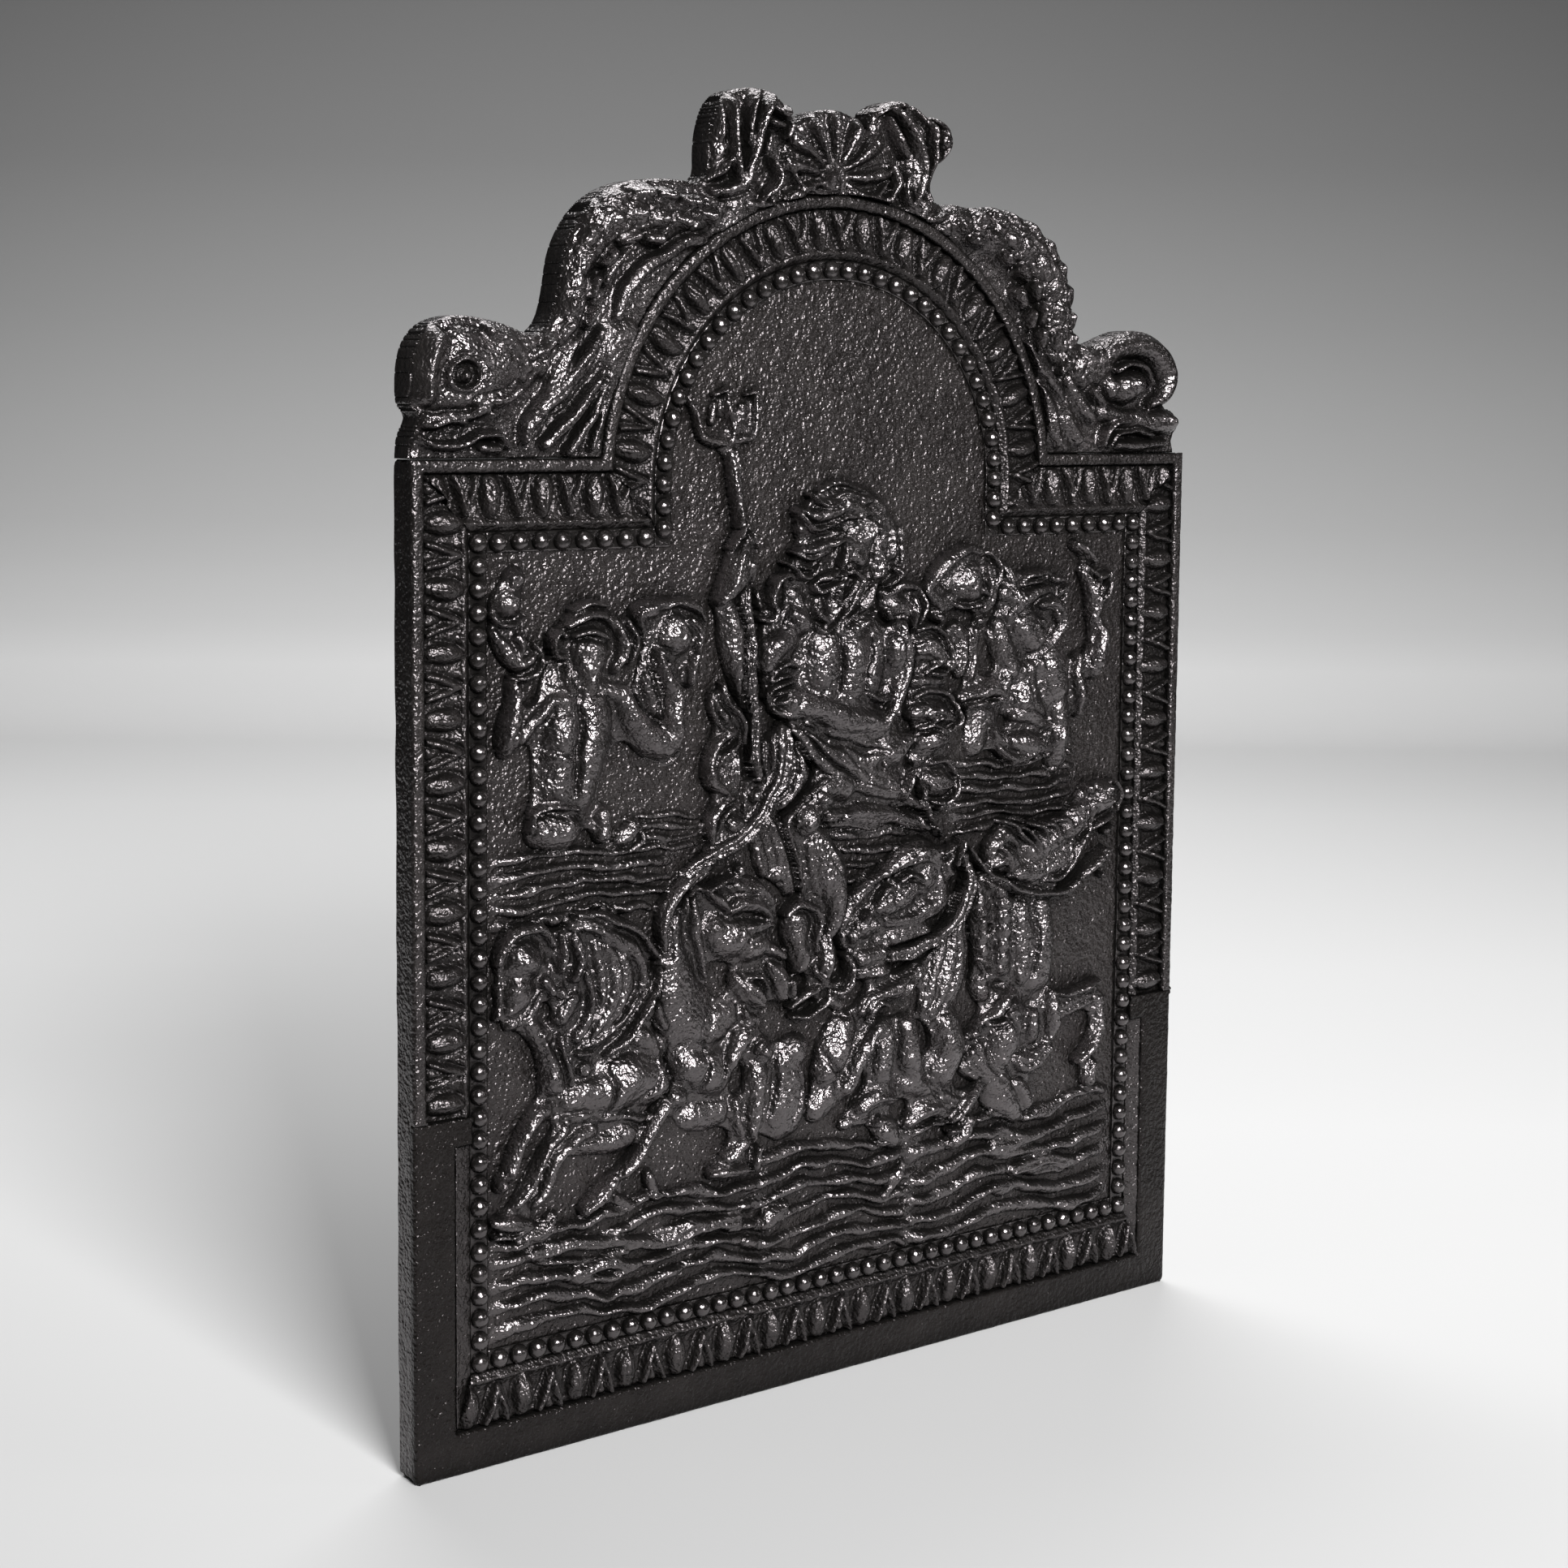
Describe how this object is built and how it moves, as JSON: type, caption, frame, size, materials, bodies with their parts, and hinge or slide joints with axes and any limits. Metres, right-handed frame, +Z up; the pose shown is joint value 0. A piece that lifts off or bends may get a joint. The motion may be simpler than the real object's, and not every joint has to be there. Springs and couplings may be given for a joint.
{
  "type": "fireback",
  "caption": "Arched cast iron fireback with a sea god in a shell chariot, sea horses, bead and leaf borders, and a crest of dolphins and a scallop.",
  "frame": {"origin": "centre of the whole part's outline, at the bottom edge that it stands on", "axes": "+Z up, +X along the width, the carved front faces -Y and the flat back faces +Y"},
  "size_m": [0.48, 0.026, 0.6431],
  "materials": {
    "board": "sand-cast, blackened with graphite polish",
    "frame": "sand-cast, blackened, slightly worn on the edges",
    "beads": "blackened, rubbed bright on the tops",
    "crest": "sand-cast, blackened with graphite polish",
    "figures": "sand-cast, blackened, rubbed bright on the high points"
  },
  "bodies": {
    "root": {"arched_board": "board", "plain_margin": "frame", "rim_bar": "frame", "leaf_moulding_left": "frame", "leaf_moulding_right": "frame", "leaf_moulding_foot": "frame", "leaf_moulding_shoulder_left": "frame", "leaf_moulding_shoulder_right": "frame", "leaf_moulding_arch": "frame", "channel_bevel_left": "frame", "channel_bevel_right": "frame", "bead_row_left": "beads", "bead_row_right": "beads", "bead_row_foot": "beads", "bead_row_shoulder_left": "beads", "bead_row_shoulder_right": "beads", "bead_row_arch": "beads", "dolphin_left": "crest", "dolphin_right": "crest", "tail_fin_left": "crest", "tail_fin_right": "crest", "scallop_shell": "crest", "sea_god": "figures", "trident": "figures", "cloak": "figures", "shell_chariot": "figures", "reins": "figures", "horse_1": "figures", "horse_2": "figures", "horse_3": "figures", "horse_4": "figures", "triton_left": "figures", "conch_left": "figures", "triton_right": "figures", "conch_right": "figures", "nymph": "figures", "waves_left": "figures", "waves_right": "figures", "waves_middle": "figures", "waves_low": "figures"}
  },
  "joints": []
}
